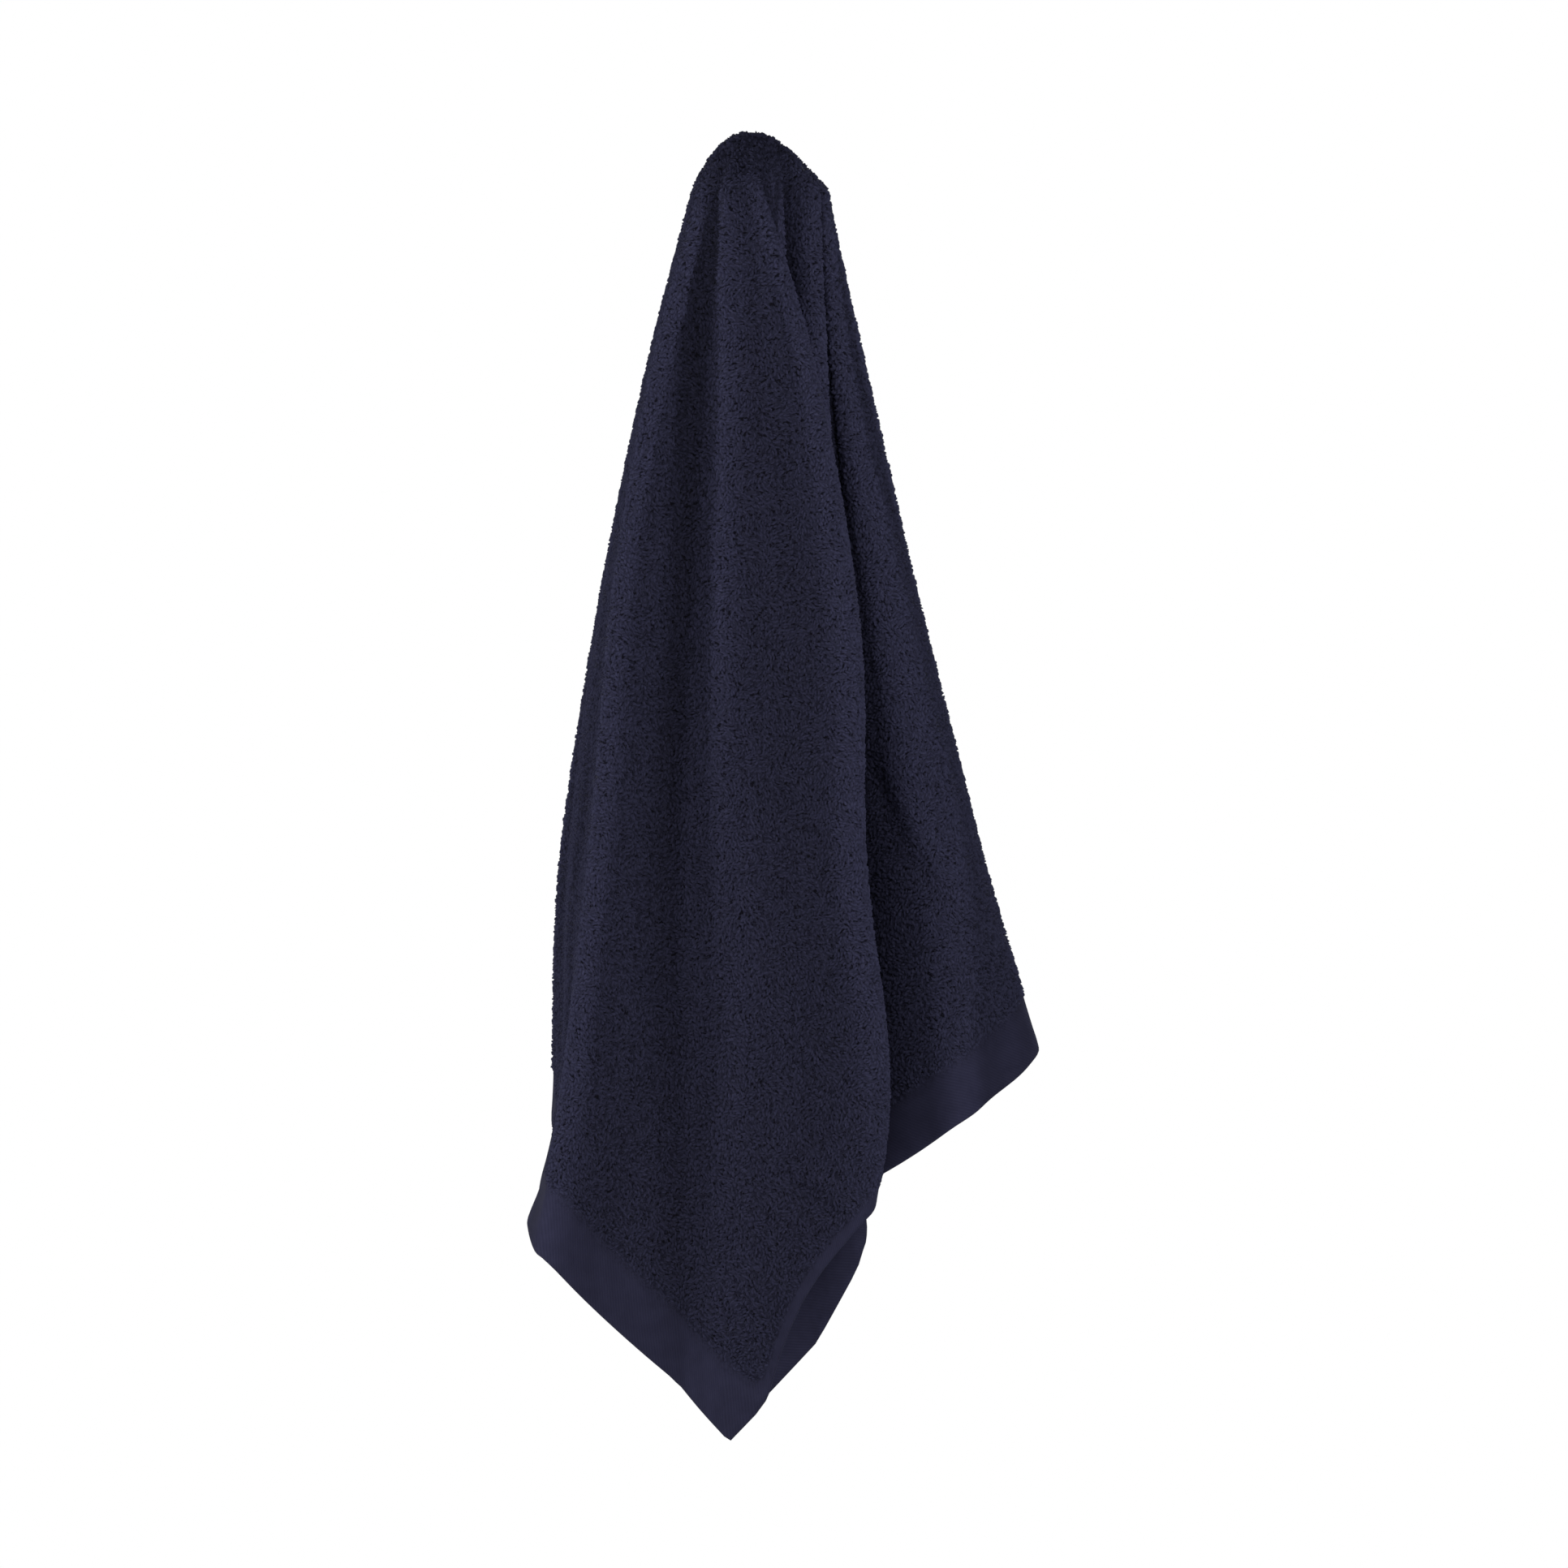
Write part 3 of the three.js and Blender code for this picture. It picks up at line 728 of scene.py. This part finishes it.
def two_colours(nt, low, high, factor):
    ramp = node(nt, "ShaderNodeValToRGB")
    ramp.color_ramp.elements[0].color = (*low, 1)
    ramp.color_ramp.elements[1].color = (*high, 1)
    nt.links.new(factor, ramp.inputs["Fac"])
    return ramp.outputs["Color"]


def times(nt, colour, value):
    made = node(nt, "ShaderNodeVectorMath", operation="SCALE")
    nt.links.new(colour, made.inputs[0])
    nt.links.new(value, made.inputs["Scale"])
    return made.outputs["Vector"]


def mixed(nt, share, low, high):
    """A blend of two colours, which are the node's inputs 6 and 7 and its output 2."""
    made = node(nt, "ShaderNodeMix", data_type="RGBA")
    nt.links.new(share, made.inputs["Factor"])
    nt.links.new(low, made.inputs[6])
    nt.links.new(high, made.inputs[7])
    return made.outputs[2]


def cloth_material(name, rough, sheen):
    mat = bpy.data.materials.new(name)
    mat.use_nodes = True
    shader = mat.node_tree.nodes["Principled BSDF"]
    shader.inputs["Roughness"].default_value = rough
    shader.inputs["Sheen Weight"].default_value = sheen
    shader.inputs["Sheen Roughness"].default_value = SHEEN_ROUGHNESS
    shader.inputs["Sheen Tint"].default_value = (*SHEEN_TINT, 1)
    shader.inputs["Specular IOR Level"].default_value = SPECULAR
    return mat, mat.node_tree, shader


def loops_material():
    mat, nt, shader = cloth_material("terry_loops", rough=0.9, sheen=0.05)
    # Painted shade darkens each loop from its tip down to its roots.
    colour = two_colours(nt, ROOT_PAINTED_SHADE_COLOUR, TIP_COLOUR, attribute(nt, "tip"))
    # The loops' colour is scaled by their random tone and by their painted light and shade.
    nt.links.new(times(nt, colour, attribute(nt, "tone_and_painted_shade")), shader.inputs["Base Color"])
    return mat


def ground_material():
    """The flat twill of the bands and hems, and a darker ground under the pile with painted shade in its
    gaps.
    """
    mat, nt, shader = cloth_material("woven_ground", rough=0.85, sheen=0.03)
    flat_uv = node(nt, "ShaderNodeUVMap", uv_map="flat")
    in_mm = node(nt, "ShaderNodeVectorMath", operation="MULTIPLY")
    in_mm.inputs[1].default_value = FLAT_SIZE
    nt.links.new(flat_uv.outputs["UV"], in_mm.inputs[0])
    place = in_mm.outputs["Vector"]
    twill = textured(
        nt, "ShaderNodeTexWave", place,
        {"Scale": TWILL_SCALE, "Distortion": TWILL_DISTORTION, "Detail": 1.0},
        wave_type="BANDS", bands_direction="DIAGONAL", wave_profile="SIN",
    )
    wear = textured(nt, "ShaderNodeTexNoise", place, {"Scale": WEAR_SCALE, "Detail": 4.0})
    # A noise pattern that places the painted shade of the gaps between the loops.
    painted_gap_pattern = textured(
        nt, "ShaderNodeTexNoise", place, {"Scale": GAP_SCALE, "Detail": 1.0, "Distortion": GAP_DISTORTION},
    )
    pile_floor = two_colours(nt, PAINTED_GAP_SHADE, UNDER_PILE_COLOUR, mapped(nt, painted_gap_pattern, (0.4, 0.5), (0, 1)))
    weave = node(nt, "ShaderNodeRGB")
    weave.outputs["Color"].default_value = (*BAND_COLOUR, 1)
    ribbed = times(nt, weave.outputs["Color"], mapped(nt, twill, (0, 1), (TWILL_DARK, TWILL_LIGHT)))
    ground = mixed(nt, attribute(nt, "bare"), pile_floor, ribbed)
    # The ground colour takes the painted light and shade of the bends.
    ground_with_painted_light = times(nt, ground, attribute(nt, "painted_light_and_shade"))
    worn = times(nt, ground_with_painted_light, mapped(nt, wear, (0.3, 0.7), WEAR_RANGE))
    nt.links.new(worn, shader.inputs["Base Color"])
    bump = node(nt, "ShaderNodeBump")
    bump.inputs["Strength"].default_value = BUMP_STRENGTH
    bump.inputs["Distance"].default_value = BUMP_HEIGHT * MM
    nt.links.new(twill, bump.inputs["Height"])
    nt.links.new(bump.outputs["Normal"], shader.inputs["Normal"])
    return mat


loop_mat = loops_material()
towel.data.materials.append(ground_material())
for piece in [towel, *loops]:
    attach(piece, "root")
    if piece is not towel:
        piece.data.materials.append(loop_mat)
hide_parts("towel")

# Stage, light and camera
scene = bpy.context.scene
FLOOR_HEIGHT = -0.95
FLOOR_SIZE = 12
ROOM_LIGHT = 0.04


def build_floor():
    white = bpy.data.materials.new("stage_white")
    white.use_nodes = True
    shader = white.node_tree.nodes["Principled BSDF"]
    shader.inputs["Base Color"].default_value = (0.9, 0.9, 0.9, 1)
    shader.inputs["Roughness"].default_value = 0.9
    bpy.ops.mesh.primitive_plane_add(size=FLOOR_SIZE, location=(0, 0, FLOOR_HEIGHT))
    made = bpy.context.object
    made.name = "floor"
    made.data.materials.append(white)
    return made


def build_world():
    """White where the camera sees past the towel, and almost no light of its own."""
    world = bpy.data.worlds.new("studio")
    world.use_nodes = True
    nt = world.node_tree
    seen = nt.nodes["Background"]
    seen.inputs["Color"].default_value = (1, 1, 1, 1)
    seen.inputs["Strength"].default_value = 1.0
    dim = node(nt, "ShaderNodeBackground")
    dim.inputs["Color"].default_value = (1, 1, 1, 1)
    dim.inputs["Strength"].default_value = ROOM_LIGHT
    path = node(nt, "ShaderNodeLightPath")
    choose = node(nt, "ShaderNodeMixShader")
    nt.links.new(path.outputs["Is Camera Ray"], choose.inputs[0])
    nt.links.new(dim.outputs["Background"], choose.inputs[1])
    nt.links.new(seen.outputs["Background"], choose.inputs[2])
    nt.links.new(choose.outputs["Shader"], nt.nodes["World Output"].inputs["Surface"])
    return world


floor = build_floor()
scene.world = build_world()

# Soft lamps round the towel: name, degrees to the right of the camera, degrees up, width and power.
LAMPS = [
    ("key", 16, 10, 0.9, 34),
    ("front", 0, 12, 0.9, 4.5),
    ("half_left", -64, 10, 0.9, 14.8),
    ("half_right", 60, 10, 0.9, 4.5),
    ("side_left", -94, 10, 0.9, 19),
    ("low_left", -112, -25, 0.9, 24),
    ("low_right", 112, -25, 0.9, 26),
    ("back_left", -155, 20, 1.4, 14),
    ("back_right", 155, 20, 1.4, 14),
]
LAMP_DISTANCE = 2.5
MIDDLE = Vector((0.02, 0, -0.3))


def add_lamp(name, turned, up, width, power):
    turned, up = math.radians(turned), math.radians(up)
    way = Vector((math.sin(turned) * math.cos(up), -math.cos(turned) * math.cos(up), math.sin(up)))
    data = bpy.data.lights.new(name, "AREA")
    data.shape = "DISK"
    data.size = width
    data.energy = power
    lamp = bpy.data.objects.new(name, data)
    scene.collection.objects.link(lamp)
    lamp.location = MIDDLE + way * LAMP_DISTANCE
    lamp.rotation_euler = way.to_track_quat("Z", "Y").to_euler()


for lamp_row in LAMPS:
    add_lamp(*lamp_row)

# The camera looks straight at the front. The picture is this many pixels wide, each worth this much at the
# towel, and the hanging point lies at this pixel of it.
PICTURE_SIDE = 1932
PIXEL = 0.375 * MM
HANG_PIXEL = (925, 161)
CAMERA_DISTANCE = 8.0
SENSOR = 36

camera_data = bpy.data.cameras.new("camera")
camera = bpy.data.objects.new("camera", camera_data)
scene.collection.objects.link(camera)
scene.camera = camera
camera_data.sensor_width = SENSOR
camera_data.lens = SENSOR * CAMERA_DISTANCE / (PICTURE_SIDE * PIXEL)
camera.location = (
    (PICTURE_SIDE / 2 - HANG_PIXEL[0]) * PIXEL,
    -CAMERA_DISTANCE,
    -(PICTURE_SIDE / 2 - HANG_PIXEL[1]) * PIXEL,
)
camera.rotation_euler = (math.radians(90), 0, 0)
camera_data.clip_start = 0.05
camera_data.clip_end = 50

scene.view_settings.view_transform = "Standard"
